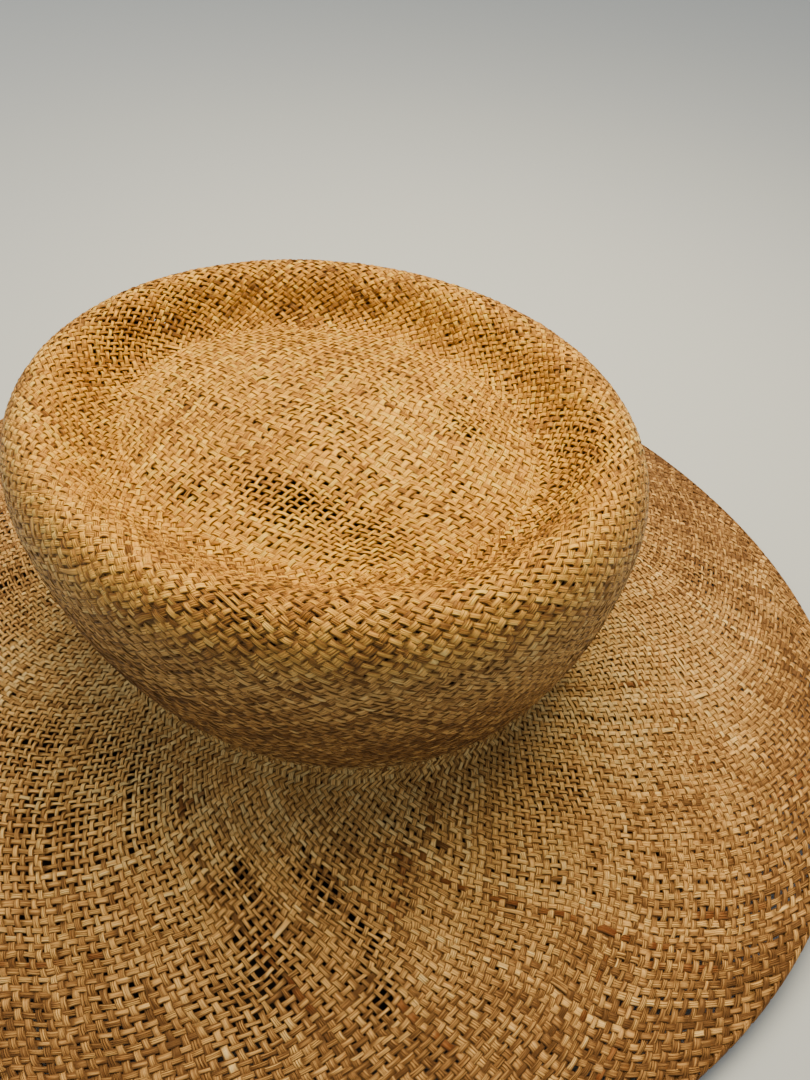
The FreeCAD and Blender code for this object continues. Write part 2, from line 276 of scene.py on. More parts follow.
def lay_strips(middle, beside, outward, wave, fill, tight, loose, depth, tone):
    """Give some strips on a surface their width, thickness, twist and looks.

    middle are the points that they follow, beside the way to the same point of the next
    strip, wave their height over and under, fill their share of that way, tight and loose
    how closely they lie, and depth how far they dive into the hat.
    """
    count, rings = wave.shape
    steps = rings - 1
    along = unit(np.gradient(middle, axis=1))
    across = unit(np.cross(outward, along))
    pitch = np.abs((beside * across).sum(-1))
    broad = (fill + 0.12 * tight + 0.05 * wander(count, steps, 3 * STEPS)
             + 0.04 * dice.normal(size=(count, 1)))
    width = pitch * broad * (1 - LOOSE_NARROWER * loose) * (1 - OVER_NARROWER * wave)
    rise = (wave * LIFT * (1 - TIGHT_FLATTER * tight) + 0.06 * wander(count, steps, 2 * STEPS)
            - MIDDLE - depth)
    middle = middle + outward * rise[..., None]
    tilt = (0.11 * wander(count, steps, STEPS) * (1 - 0.5 * np.abs(wave))
            + 0.05 * wander(count, steps, 6 * STEPS))
    thick = STRIP_THICK * (1 + 0.12 * wander(count, steps, 4 * STEPS))
    run = np.cumsum(np.linalg.norm(np.diff(middle, axis=1), axis=-1), axis=1)
    length = (np.concatenate([np.zeros((count, 1)), run], axis=1)
              + LEAF_APART * np.arange(count)[:, None])
    tone = tone + 0.42 * dice.normal(size=(count, 1)) + 0.30 * wander(count, steps, 5 * STEPS)
    tone = tone + 0.34 * wander(count, steps, 2 * STEPS)
    odd = wander(count, steps, 4 * STEPS)
    tone = tone - 1.3 * np.clip(2 * odd - 4.0, 0, 1) + 0.9 * np.clip(-2 * odd - 3.6, 0, 1)
    split = np.clip(0.65 + 0.35 * dice.normal(size=(count, 1))
                    + 0.35 * wander(count, steps, 5 * STEPS), 0.1, 1)
    return {"middle": middle, "across": across, "outward": outward, "width": width,
            "thick": thick, "tilt": tilt, "length": length, "tone": tone,
            "red": np.zeros_like(tone), "grey": np.zeros_like(tone), "split": split,
            "wave": wave}


def strip_bar(steps):
    """One strip as a flat four-sided bar, cut across into steps."""
    bm = bmesh.new()
    bmesh.ops.create_cone(bm, cap_ends=True, segments=4, depth=1,
                          radius1=math.sqrt(2), radius2=math.sqrt(2))
    bmesh.ops.rotate(bm, verts=bm.verts, matrix=Matrix.Rotation(math.pi / 4, 3, "Z"))
    bmesh.ops.translate(bm, verts=bm.verts, vec=(0, 0, 0.5))
    long = [edge for edge in bm.edges if abs(edge.verts[0].co.z - edge.verts[1].co.z) > 0.5]
    bmesh.ops.subdivide_edges(bm, edges=long, cuts=steps - 1, use_grid_fill=True)
    bmesh.ops.recalc_face_normals(bm, faces=bm.faces)
    for face in bm.faces:
        face.smooth = True
    for edge in bm.edges:
        along = abs(edge.verts[0].co.z - edge.verts[1].co.z) > 0.001
        end = any(abs(face.normal.z) > 0.9 for face in edge.link_faces)
        edge.smooth = not (along or end)
    return as_mesh(bm, "bar")


def corners(mesh):
    """The places of a mesh's corners."""
    place = np.zeros(len(mesh.vertices) * 3, np.float32)
    mesh.vertices.foreach_get("co", place)
    return place.reshape(-1, 3)


def bundle(name, count, one):
    """A mesh with equal pieces in it, and the places of one piece's corners."""
    bm = bmesh.new()
    for _ in range(count):
        bm.from_mesh(one)
    corner = corners(one)
    bpy.data.meshes.remove(one)
    return as_mesh(bm, name), corner


def put_corners(mesh, place):
    """Move a mesh's corners to places in millimetres."""
    mesh.vertices.foreach_set("co", (place * MM).astype(np.float32).ravel())


def mark_corners(mesh, attribute, *values):
    """Keep three numbers at each corner, for the material to read."""
    held = mesh.attributes.new(attribute, "FLOAT_VECTOR", "POINT")
    held.data.foreach_set("vector", np.stack(values, -1).astype(np.float32).ravel())


def part_of_hat(name, mesh, material, slot, *nodes):
    """A piece of the hat, in place of its nodes."""
    mesh.update()
    piece = bpy.data.objects.new(name, mesh)
    bpy.context.scene.collection.objects.link(piece)
    piece.data.materials.append(material)
    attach(piece, "root")
    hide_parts(*nodes)
    return piece


def finish_strips(name, laid, *nodes):
    """Put the corners of a bundle of strips in place, as one piece of the hat."""
    count, rings = laid["width"].shape
    mesh, corner = bundle(name, count, strip_bar(rings - 1))
    side, high, ring = np.rint(corner * np.float32([1, 1, rings - 1])).T
    ring = ring.astype(int)
    bevel = side * (1 - BEVEL * (high + 1) / 2)
    reach = (laid["width"] / 2)[:, ring, None] * laid["across"][:, ring] * bevel[:, None]
    rise = (laid["thick"] / 2)[:, ring] * high + laid["tilt"][:, ring] * side
    put_corners(mesh, laid["middle"][:, ring] + reach + laid["outward"][:, ring] * rise[..., None])
    sides = np.broadcast_to(side, (count, len(ring)))
    number = np.broadcast_to(np.arange(count)[:, None] * NOISE_APART, sides.shape)
    mark_corners(mesh, "fibre", laid["length"][:, ring], (laid["width"] / 2)[:, ring] * sides,
                 number)
    mark_corners(mesh, "looks", laid["tone"][:, ring], laid["red"][:, ring],
                 laid["split"][:, ring])
    mark_corners(mesh, "weave", sides, laid["wave"][:, ring], laid["grey"][:, ring])
    part_of_hat(name, mesh, straw, "straw", *nodes)


def straw_material():
    """Dry leaf strips: fine-fibred and split lengthwise, darker in the splits. Golden on top,
    turning to a greyer copy further down as painted light, and with painted shade at their borders
    and where they go under. Its patterns follow each strip by the attributes of finish_strips."""
    paint = Paint("plaited_straw")
    paint.shader.inputs["Specular IOR Level"].default_value = 0.28
    paint.shader.inputs["Specular Tint"].default_value = (1.0, 0.74, 0.36, 1)
    fibre, *_ = paint.parts("fibre")
    _, shown, red, split = paint.parts("looks")
    _, side, wave, grey = paint.parts("weave")
    lines = paint.noise(fibre, (0.09, 2.2, 1.0), 2.5, 3.0)
    streaks = paint.noise(fibre, (0.07, 1.2, 1.0), 1.0, 11.0)
    blotch = paint.noise(fibre, (0.30, 0.6, 1.0), 3.0, 29.0)
    drift = paint.noise(fibre, (0.06, 0.0, 1.0), 1.0, 47.0)

    def groove(middle, narrow):
        """A split along the strip that wanders from side to side."""
        at = paint.math("MULTIPLY_ADD", drift, 1.5, middle)
        off = paint.math("ABSOLUTE", paint.math("SUBTRACT", side, at))
        near = paint.math("MULTIPLY_ADD", off, -narrow, 1.0)
        return paint.math("MULTIPLY", paint.math("MAXIMUM", near, 0.0), split)

    splits = paint.math("MAXIMUM", groove(-1.05, 7.0), groove(-0.40, 8.0))
    aside = paint.math("ABSOLUTE", side)
    # painted shade between neighbouring strips: their borders are darkened in colour, and lowered
    # in the bump
    border = paint.math("MAXIMUM", paint.math("MULTIPLY_ADD", aside, 2.6, -1.6), 0.0)
    under = paint.math("MULTIPLY_ADD", wave, -0.5, 0.5)

    tone = paint.math("MULTIPLY_ADD", paint.math("SUBTRACT", streaks, 0.5), 2.4, shown)
    tone = paint.math("MULTIPLY_ADD", paint.math("SUBTRACT", lines, 0.5), 5.2, tone)
    # painted shade where a strip goes under the other set
    tone = paint.math("MULTIPLY_ADD", under, -0.5, tone)
    tone = paint.math("MULTIPLY_ADD", tone, 0.28, 0.50)
    golden = paint.ramp(
        tone, (0.0, (0.150, 0.056, 0.013)), (0.26, (0.405, 0.172, 0.026)),
        (0.50, (0.700, 0.338, 0.044)), (0.74, (0.895, 0.458, 0.040)),
        (1.0, (0.975, 0.625, 0.095)))
    # painted light: a greyer copy of the golden straw, standing in for the cooler room light away
    # from the warm lamp
    greyer = paint.ramp(
        tone, (0.0, (0.155, 0.070, 0.025)), (0.26, (0.385, 0.192, 0.062)),
        (0.50, (0.650, 0.365, 0.120)), (0.74, (0.840, 0.500, 0.160)),
        (1.0, (0.945, 0.690, 0.290)))
    colour = paint.mix(grey, golden, greyer)
    spots = paint.math("MULTIPLY", paint.math("GREATER_THAN", blotch, 0.64), 0.25)
    colour = paint.mix(spots, colour, (0.33, 0.12, 0.025, 1))
    colour = paint.mix(red, colour, (0.170, 0.042, 0.012, 1))
    # darker in the split grooves, and painted shade at the borders and where the strips go under
    splits_and_painted_shade = paint.math("MAXIMUM", paint.math("MULTIPLY", splits, 0.66),
                      paint.math("MULTIPLY", border, 0.88))
    splits_and_painted_shade = paint.math("MAXIMUM", splits_and_painted_shade,
                      paint.math("MULTIPLY", paint.math("POWER", under, 3.0), 0.85))
    colour = paint.mix(splits_and_painted_shade, colour, (0.110, 0.052, 0.022, 1))
    paint.links.new(colour, paint.shader.inputs["Base Color"])
    paint.links.new(paint.math("MULTIPLY_ADD", lines, 0.35, 0.33),
                    paint.shader.inputs["Roughness"])
    height = paint.math("MULTIPLY_ADD", lines, 0.7, paint.math("MULTIPLY", splits, -1.0))
    height = paint.math("MULTIPLY_ADD", border, -0.4, height)
    height = paint.math("MULTIPLY_ADD", paint.math("MULTIPLY", side, side), -0.5, height)
    paint.wear(height, 1.0, 0.0003)
    return paint.material


straw = straw_material()


def in_disc(across, along):
    """Where a point of the square work lies in a round tip of radius one."""
    most = np.maximum(abs(across), abs(along))
    ring = np.maximum(most, 1e-9)
    wider = abs(across) >= abs(along)
    turn = math.pi / 4 * np.where(wider, along, across) / np.where(wider, across, along + 1e-12)
    x = np.where(wider, np.sign(across) * np.cos(turn), np.sign(along) * np.sin(turn)) * ring
    y = np.where(wider, np.sign(across) * np.sin(turn), np.sign(along) * np.cos(turn)) * ring
    ease = np.clip((most - SQUARE_CORE) / SQUARE_FADE, 0, 1)
    ease = ROUNDED * ease * ease * (3 - 2 * ease)
    return (x * ease + CORE_SPREAD * across * (1 - ease),
            y * ease + CORE_SPREAD * along * (1 - ease))


def tip_points(across, along):
    """Points of the tip's outer face, from the place in the square work.

    Inside the border the strips waver, and past it the dome turns up into the slope.
    """
    x, y = in_disc(across, along)
    turned_x = x * math.cos(TIP_TURN) - y * math.sin(TIP_TURN)
    turned_y = x * math.sin(TIP_TURN) + y * math.cos(TIP_TURN)
    x, y = TIP_LONG * turned_x, TIP_WIDE * turned_y
    calm = np.clip(1.05 - x * x / TIP_LONG ** 2 - y * y / TIP_WIDE ** 2, 0, 1)
    moved_x = x + calm * (1.2 * np.sin(0.11 * y + 0.05 * x) + 0.8 * np.sin(0.19 * x - 0.23 * y))
    moved_y = y + calm * (1.2 * np.sin(0.10 * x + 1.0) + 0.8 * np.sin(0.21 * y + 0.19 * x + 2.0))
    far = (x / TIP_LONG) ** 2 + (y / TIP_WIDE) ** 2
    bow = (TIP_LONG ** 2 + TIP_RISE ** 2) / (2 * TIP_RISE)
    rise = np.sqrt(bow ** 2 - np.minimum(far, 1) * TIP_LONG ** 2) - (bow - TIP_RISE)
    past = np.maximum(np.sqrt(far) - 1, 0) * TIP_LONG
    return np.stack([moved_x, moved_y, TIP_HEIGHT + rise + 0.02 * past ** 2], -1)


def tip_set(count, crossings, flipped):
    """One set of the square work's strips: the columns, or flipped the rows."""
    steps = (crossings + 1) * STEPS
    drift = 0.10 * dice.normal(size=(count, 1)) + 0.13 * wander(count, steps, 4 * STEPS)
    number = (2 * (np.arange(count)[:, None] + drift) + 1) / count - 1
    run = (2 * (np.arange(steps + 1)[None, :] / STEPS - 1) + 1) / crossings - 1
    number, run = np.broadcast_arrays(number, run)
    across, along = (run, number) if flipped else (number, run)
    square = np.arange(count)[:, None] + np.arange(crossings + 2)[None, :]
    signs = np.where(square % 2 == 0, 1.0, -1.0)
    if flipped:
        signs = -signs
    signs[:, 0] = signs[:, -1] = -1.0
    wave = over_under(signs, steps)
    small = 1e-4
    middle = tip_points(across, along)
    by_across = (tip_points(across + small, along)
                 - tip_points(across - small, along)) / (2 * small)
    by_along = (tip_points(across, along + small)
                - tip_points(across, along - small)) / (2 * small)
    beside = (by_along if flipped else by_across) * 2 / count
    outward = unit(np.cross(by_across, by_along))
    plan_x, plan_y = middle[..., 0], middle[..., 1]
    loose = np.zeros(wave.shape)
    for x, y, wide, high, most in TIP_OPEN:
        away = ((plan_x - x) / wide) ** 2 + ((plan_y - y) / high) ** 2
        loose = np.maximum(loose, most * np.exp(-away))
    far = np.sqrt((plan_x / TIP_LONG) ** 2 + (plan_y / TIP_WIDE) ** 2)
    depth = TIP_DIVE * np.clip((far - 1.0) / 0.02, 0, 1)
    tone = 0.52 + 0.15 * np.sin(plan_x * 0.07) + 0.15 * np.sin(plan_y * 0.09 + 1)
    return lay_strips(middle, beside, outward, wave, TIP_FILL, TIP_TIGHT, loose, depth, tone)


finish_strips("crown_tip_column_strips", tip_set(TIP_COLUMNS, TIP_ROWS, False), "crown_tip")
finish_strips("crown_tip_row_strips", tip_set(TIP_ROWS, TIP_COLUMNS, True), "crown_tip")


# ---------------------------------------------------------------- dish slope, rim and wall
#
# The crown goes on from the tip in slanting strips, one set to each side, and is shaped on
# a block: a slope out of the dish, a rolled rim, and an oval wall that bows out. The same
# strips run from the tip's border down to the crease.

HEAD_LENGTH, HEAD_OVAL = 196.0, 28.0  # the crease's length, and how much less its width
WALL_HEIGHT, WALL_FLARE = 68.0, 12.4
RIM_HEIGHT, RIM_INSET = 23.0, 13.8
DISH_WIDTH, DISH_DEPTH = 23.0, 14.8
CREASE_RADIUS = 5.0
BRIM_LENGTH, BRIM_OVAL = 419.0, 22.0
BRIM_DROOP = 0.25
END_LIFT, SIDE_LIFT = 13.0, 0.4  # the brim's edge above the floor, front and sides
EDGE_THICKNESS = 2.4
BRIM_RUN = 110.0
ROUND, EASE = 0.5523, 0.45  # a free curve's pull: a quarter circle, and an S
CURVE_POINTS, TURN_POINTS, TABLE_POINTS = 200, 60, 2000
INTO_TIP = (-6, 0.66)  # a little way on, where the strips start under the tip's border
CROWN_RADIUS = 90  # about, all over the crown
CALM = 12  # at both ends of the strips, where the hand kept to the line
GREY_OVER = 30.0
CROWN_STRIPS = 144


def free_curve(poles, count):
    """Points along one free curve with four poles."""
    share = np.linspace(0, 1, count)[:, None]
    first, second, third, last = (np.array(pole, float) for pole in poles)
    return ((1 - share) ** 3 * first + 3 * (1 - share) ** 2 * share * second
            + 3 * (1 - share) * share ** 2 * third + share ** 3 * last)


def crown_section():
    """The crown's section: the way down it from the dish's bottom, and how far out of the
    crease and up it is there; then that way at the crest, the shoulder and the foot."""
    valley = np.array([WALL_FLARE - RIM_INSET - DISH_WIDTH, WALL_HEIGHT + RIM_HEIGHT - DISH_DEPTH])
    crest = np.array([WALL_FLARE - RIM_INSET, WALL_HEIGHT + RIM_HEIGHT])
    shoulder = np.array([WALL_FLARE, WALL_HEIGHT])
    level = np.array([DISH_WIDTH * EASE, 0])
    slope = free_curve((valley, valley + level, crest - level, crest), CURVE_POINTS)
    roll = free_curve((crest, crest + (RIM_INSET * ROUND, 0),
                       shoulder + (0, RIM_HEIGHT * ROUND), shoulder), CURVE_POINTS)
    bow = (WALL_HEIGHT ** 2 + WALL_FLARE ** 2) / (2 * WALL_FLARE)
    up = np.linspace(WALL_HEIGHT, 0, CURVE_POINTS)
    wall = np.stack([WALL_FLARE - bow + np.sqrt(bow ** 2 - (WALL_HEIGHT - up) ** 2), up], 1)
    angle = np.linspace(0, last_turn(), TURN_POINTS)
    turn = np.stack([CREASE_RADIUS * (1 - np.cos(angle)), -CREASE_RADIUS * np.sin(angle)], 1)
    inward = valley + [INTO_TIP]
    line = np.concatenate([inward, slope, roll[1:], wall[1:], turn[1:]])
    down = np.concatenate([[0], np.cumsum(np.linalg.norm(np.diff(line, axis=0), axis=1))])
    down -= down[1]
    crest_at, shoulder_at, foot_at = (
        CURVE_POINTS + run * (CURVE_POINTS - 1) for run in range(3))
    return down, line[:, 0], line[:, 1], down[crest_at], down[shoulder_at], down[foot_at]


def last_turn():
    """How far the wall turns before it falls straight away as the brim."""
    run = (BRIM_LENGTH - HEAD_LENGTH) / 2
    return math.pi / 2 - math.atan(CREASE_HEIGHT / run * (1 - BRIM_DROOP))


DOWN, OUT, UP, CREST_DOWN, SHOULDER_DOWN, FOOT_DOWN = crown_section()
TURN_DOWN = DOWN[-1]
EDGE_DOWN = TURN_DOWN + BRIM_RUN


def crease_points(angle, out):
    """Plan points that lie out outside the oval of the crease."""
    long, wide = HEAD_LENGTH / 2, (HEAD_LENGTH - HEAD_OVAL) / 2
    square = unit(np.stack([wide * np.cos(angle), long * np.sin(angle)], -1))
    return np.stack([long * np.cos(angle), wide * np.sin(angle)], -1) + square * out[..., None]


def edge_wave(angle):
    """Height of the brim's edge above the floor, all round."""
    two = (END_LIFT - SIDE_LIFT) / 2
    four = (math.sqrt(END_LIFT) + math.sqrt(SIDE_LIFT)) ** 2 / 8
    return (END_LIFT + SIDE_LIFT) / 2 - four + two * np.cos(2 * angle) + four * np.cos(4 * angle)


def cloth_points(angle, down):
    """Points of the straw's outer face, down being the way from the dish's bottom."""
    out = np.interp(down, DOWN, OUT)
    up = np.interp(down, DOWN, UP)
    plan = crease_points(angle, out)
    share = np.maximum(down - TURN_DOWN, 0) / BRIM_RUN
    long = (BRIM_LENGTH - EDGE_THICKNESS) / 2
    wide = (BRIM_LENGTH - EDGE_THICKNESS - BRIM_OVAL) / 2
    edge = np.stack([long * np.cos(angle), wide * np.sin(angle)], -1)
    plan = plan + (edge - plan) * share[..., None]
    fall = edge_wave(angle) + EDGE_THICKNESS - CREASE_HEIGHT - up
    up = CREASE_HEIGHT + up + fall * ((1 - BRIM_DROOP) * share + BRIM_DROOP * share ** 2)
    return np.concatenate([plan, up[..., None]], -1)


def cloth_ways(angle, down):
    """The ways round, down and out of the straw's outer face."""
    small = 1e-3
    here = cloth_points(angle, down)
    round_way = (cloth_points(angle + small, down) - here) / small
    down_way = (cloth_points(angle, down + small * 50) - here) / (small * 50)
    return round_way, unit(down_way), unit(np.cross(down_way, round_way))


def uneven(angle, down, strength):
    """The hand's unevenness: both sets of strips drift together, sideways and down.

    The first and longest wave shears the plait, so its squares stand upright in places.
    """
    across = (12 * np.sin(2 * angle + 0.6) * np.sin(down * 0.055 + 0.4)
              + np.sin(3 * angle + down * 0.045 + 1) + 0.7 * np.sin(7 * angle - down * 0.08)
              + 0.6 * np.sin(13 * angle + down * 0.11 + 2)
              + 0.35 * np.sin(29 * angle - down * 0.21)
              + 0.15 * np.sin(53 * angle + down * 0.33))
    along = (np.sin(4 * angle - down * 0.06 + 2) + 0.7 * np.sin(9 * angle + down * 0.09)
             + 0.5 * np.sin(17 * angle - down * 0.14 + 1) + 0.3 * np.sin(31 * angle + down * 0.2)
             + 0.2 * np.sin(47 * angle - down * 0.29 + 2))
    return across * strength / CROWN_RADIUS, along * strength


def lean_table(leans):
    """How far round the hat a strip gets, and how far down, from its lean at some places."""
    places, angles = np.array(leans, float).T
    down = np.linspace(places[0], places[-1], TABLE_POINTS)
    radius = (HEAD_LENGTH - HEAD_OVAL / 2) / 2 + np.interp(down, DOWN, OUT)
    radius = radius + np.maximum(down - TURN_DOWN, 0) * 0.985
    rate = np.tan(np.radians(np.interp(down, places, angles))) / radius
    round_way = np.concatenate([[0], np.cumsum((rate[1:] + rate[:-1]) / 2 * np.diff(down))])
    return down, round_way


def open_places(angle, down, places):
    """How loosely the strips lie: 0 where they are tight, 1 in the middle of an open place."""
    loose = np.zeros(np.broadcast(angle, down).shape)
    for at_angle, at_down, wide, high, slant, most in places:
        turn = (angle - math.radians(at_angle) + math.pi) % (2 * math.pi) - math.pi
        off = down - at_down
        radius = CROWN_RADIUS + np.maximum(at_down - TURN_DOWN, 0)
        x = (turn * radius - slant * off) / wide
        y = off / high
        loose = np.maximum(loose, most * np.exp(-(x ** 2 + y ** 2)))
    return loose


def plait(count, leans, start, end, fill, tight, strength, places, dive, tones, swaps):
    """Lay both sets of slanting strips over the block, over one and under one.

    leans are the strips' slants at some places down, start and end where they begin and
    stop, fill how broad each set is, by the way it goes round, tight, dive and tones how
    close, deep and light they are at a place, strength the hand's unevenness, places the
    open ones, and swaps the share of crossings that go over where they should go under.
    Gives the two sets as lay_strips does, with the angle and the place down of each step.
    """
    table_down, table_round = lean_table(leans)
    first = np.interp(start, table_down, table_round) * count / math.pi
    last = np.interp(end, table_down, table_round) * count / math.pi
    crossings = round(last - first)
    steps = crossings * STEPS
    row = np.arange(steps + 1) / STEPS
    reach = first + row * (last - first) / crossings
    down_row = np.interp(reach * math.pi / count, table_round, table_down)[None, :]
    whole = np.arange(crossings + 1)
    over = np.where(whole % 2 == 0, 1.0, -1.0)[None, :] * np.ones((count, 1))
    over = np.where(dice.random(over.shape) < swaps, -over, over)
    number = np.arange(count)
    sets = []
    for way in (1, -1):
        met = (number[:, None] - whole[None, :]) % count
        signs = over if way == 1 else -over[met, whole[None, :]]
        wave = over_under(signs, steps)
        angle = 2 * math.pi * (number[:, None] + way * row[None, :] / 2) / count
        loose = open_places(angle, down_row, places)
        sideways, along = uneven(angle, down_row, strength)
        calm = np.clip(np.minimum(down_row - start, end - down_row) / CALM, 0, 1)
        drift = (0.07 * wander(count, steps, 5 * STEPS) + 0.05 * wander(count, steps, 2 * STEPS)
                 + 0.10 * dice.normal(size=(count, 1))) * (1 + 0.5 * loose)
        angle = angle + sideways * calm + drift * 2 * math.pi / count
        down = down_row + along * calm
        round_way, _, outward = cloth_ways(angle, down)
        laid = lay_strips(cloth_points(angle, down), round_way * 2 * math.pi / count, outward,
                          wave, fill[way], tight(down), loose, dive(down), tones(angle, down))
        # Painted light: from the crest down the straw takes the greyer copy of its colour, as if
        # lit by cooler room light; the top stays golden.
        grey = np.clip((down - CREST_DOWN + 4) / GREY_OVER, 0, 1)
        laid.update(angle=angle, down=down, grey=grey)
        sets.append(laid)
    return sets


def crown_tone_and_painted_shade(angle, down):
    """Painted shade on the dish slope and down the wall, painted light near the crease, tone round
    the hat.
    """
    shade = (0.34 - 0.25 * np.sin(math.pi * np.clip(down / CREST_DOWN, 0, 1))
             - 1.1 * np.clip((down - SHOULDER_DOWN) / 30, 0, 1)
             + 0.6 * np.clip((down - FOOT_DOWN + 12) / 12, 0, 1))
    return (shade + 0.16 * np.sin(2 * angle + 0.03 * down)
            + 0.12 * np.sin(5 * angle - 0.05 * down + 1))


CROWN_LEANS = ((-6, 46), (0, 48), (28, 56), (58, 58), (100, 54), (127, 48), (140, 42))
CROWN_OPEN = (  # degrees round, down, reach round and down, slant, how open
    (-75, 33, 5, 5, 0.3, 0.8), (-72, 40, 5, 4, 0.3, 0.9), (-48, 56, 9, 4, 0.3, 0.7),
    (-60, 68, 4, 10, 0.2, 0.6), (-43, 54, 6, 4, 0.0, 0.7), (-27, 56, 6, 6, 0.3, 0.9),
    (20, 14, 30, 11, 0.0, 0.45), (60, 14, 22, 10, 0.0, 0.35), (170, 14, 28, 11, 0.0, 0.5),
    (-20, 112, 14, 8, 0.5, 0.5), (110, 80, 20, 14, 0.5, 0.5), (200, 95, 26, 12, 0.3, 0.5),
    (150, 60, 16, 9, 0.3, 0.45), (75, 105, 18, 9, 0.2, 0.5), (235, 70, 18, 9, 0.2, 0.45))
CROWN_FROM, CROWN_PAST_FOOT = -4.5, 5.4
CROWN_FILL, CROWN_UNEVEN = {1: 0.90, -1: 1.0}, 0.6
MISSED = 0.003  # share of the crossings that went wrong


def crown_dive(down):
    """The strips start under the border of the tip and end under the start of the brim."""
    return (np.clip((-0.8 - down) / 2.2, 0, 1)
            + np.clip((down - FOOT_DOWN - 2.4) / 2.4, 0, 1))


def crown_tight(down):
    """Pressed tighter from the front of the rim down."""
    return np.clip((down - CREST_DOWN - 2) / 20, 0, 1)


crown_sets = plait(CROWN_STRIPS, CROWN_LEANS, CROWN_FROM, FOOT_DOWN + CROWN_PAST_FOOT,
                   CROWN_FILL, crown_tight, CROWN_UNEVEN, CROWN_OPEN, crown_dive, crown_tone_and_painted_shade,
                   MISSED)


def cut_steps(laid, first, last, strips=slice(None)):
    """The part of laid strips between two steps."""
    return {key: values[strips, first:last + 1] for key, values in laid.items()}


def step_at(laid, down):
    """The crossing nearest to a place, as a step."""
    mean = laid["down"].mean(axis=0)[::STEPS]
    return int(np.argmin(abs(mean - down))) * STEPS


def halves(count):
    """Two halves of a set of strips, so that no piece gets too large."""
    return ("a", slice(0, count // 2)), ("b", slice(count // 2, count))


for hand, laid in zip(("right", "left"), crown_sets):
    crest, shoulder = step_at(laid, CREST_DOWN), step_at(laid, SHOULDER_DOWN)
    finish_strips(f"dish_slope_{hand}_strips", cut_steps(laid, 0, crest), "dish_slope")
    finish_strips(f"crown_rim_{hand}_strips", cut_steps(laid, crest, shoulder), "crown_rim")
    end = laid["wave"].shape[1] - 1
    for part, strips in halves(CROWN_STRIPS):
        finish_strips(f"crown_wall_{hand}_strips_{part}",
                      cut_steps(laid, shoulder, end, strips), "crown_wall")


# ---------------------------------------------------------------- brim
#
# The brim goes on from the crease with more strips, steep at first and flatter towards the
# edge. Its strips are many-toned, some browned and one long one red-brown, with open streaks.

BRIM_STRIPS = 264
BRIM_LEANS = tuple((TURN_DOWN + share * BRIM_RUN, lean) for share, lean in (
    (-0.16, 34), (0.0, 34), (0.15, 37), (0.35, 44), (0.55, 49), (0.75, 54), (0.9, 59), (1.0, 60)))
BRIM_FROM = -5.0
BRIM_FILL, BRIM_UNEVEN = {1: 0.91, -1: 0.91}, 0.55
RED_ANGLE, RED_SHARE, RED_REACH, RED_DEEP = math.radians(-38), 0.45, 34.0, 0.85
SCRAPS, SCRAP_DEEP = 40, 0.75


def on_brim(angle, share, wide, high, slant, most):
    """One open place of the brim, its distance as a share of the brim's width."""
    return angle, TURN_DOWN + share * BRIM_RUN, wide, high, slant, most


BRIM_OPEN = tuple(on_brim(*place) for place in (
    (-103, 0.16, 34, 20, 0.2, 0.85), (-106, 0.38, 18, 14, 0.2, 0.85),
    (-112, 0.08, 18, 12, 0.2, 0.7), (-90, 0.05, 9, 12, 0.2, 0.6),
    (-118, 0.32, 16, 18, 0.2, 0.8), (-78, 0.30, 7, 13, 0.2, 0.9),
    (-76, 0.52, 8, 15, 0.2, 0.95), (-66, 0.28, 5.5, 11, 0.35, 1.0), (-64, 0.40, 5, 11, 0.2, 0.9),
    (-63.5, 0.55, 6, 11, 0.0, 1.05), (-25, 0.24, 10, 8, 0.2, 0.5), (-25, 0.47, 10, 6, 0.2, 0.5),
    (-150, 0.35, 18, 14, 0.2, 0.6), (120, 0.45, 16, 16, 0.3, 0.7), (160, 0.30, 14, 22, 0.3, 0.6),
    (200, 0.55, 12, 18, 0.3, 0.7), (75, 0.50, 14, 12, 0.2, 0.5), (35, 0.65, 10, 12, 0.2, 0.4)))


def brim_tone_and_painted_light(angle, down):
    """Painted light near the crease and painted shade towards the edge, with faint bands from leaf
    to leaf.
    """
    share = np.clip((down - TURN_DOWN) / BRIM_RUN, 0, 1)
    return (1.05 - 2.05 * share + 0.22 * np.cos(3 * angle - 0.26)
            + 0.12 * np.sin(8 * angle - 0.07 * down + 1) + 0.12 * np.sin(0.13 * down + 4 * angle))


def brim_dive(down):
    """The strips' first ends lie under the foot of the wall."""
    return 0.9 * np.clip((FOOT_DOWN + 0.4 - down) / 2.6, 0, 1)


def brim_tight(down):
    """Pressed tighter near the crease."""
    return 0.5 * np.clip((TURN_DOWN + 14 - down) / 12, 0, 1)


def add_browned(laid, strip, at_down, reach, strength):
    """Make part of one strip red-brown, where the leaf was old."""
    near = 1 - abs(laid["down"][strip] - at_down) / reach
    patchy = np.sin(laid["length"][strip] * 0.33) + 0.65
    laid["red"][strip] = np.maximum(laid["red"][strip], strength * np.clip(6 * near, 0, 1)
                                    * np.clip(4 * patchy, 0, 1))


brim_sets = plait(BRIM_STRIPS, BRIM_LEANS, FOOT_DOWN + BRIM_FROM, EDGE_DOWN, BRIM_FILL,
                  brim_tight, BRIM_UNEVEN, BRIM_OPEN, brim_dive, brim_tone_and_painted_light, MISSED)
red_down = TURN_DOWN + RED_SHARE * BRIM_RUN
red_turn = brim_sets[0]["angle"][:, step_at(brim_sets[0], red_down)] - RED_ANGLE
add_browned(brim_sets[0], int(np.argmin(1 - np.cos(red_turn))), red_down, RED_REACH, RED_DEEP)
for _ in range(SCRAPS):
    add_browned(brim_sets[dice.integers(2)], dice.integers(BRIM_STRIPS),
                TURN_DOWN + BRIM_RUN * dice.random(), 6 + 8 * dice.random(), SCRAP_DEEP)


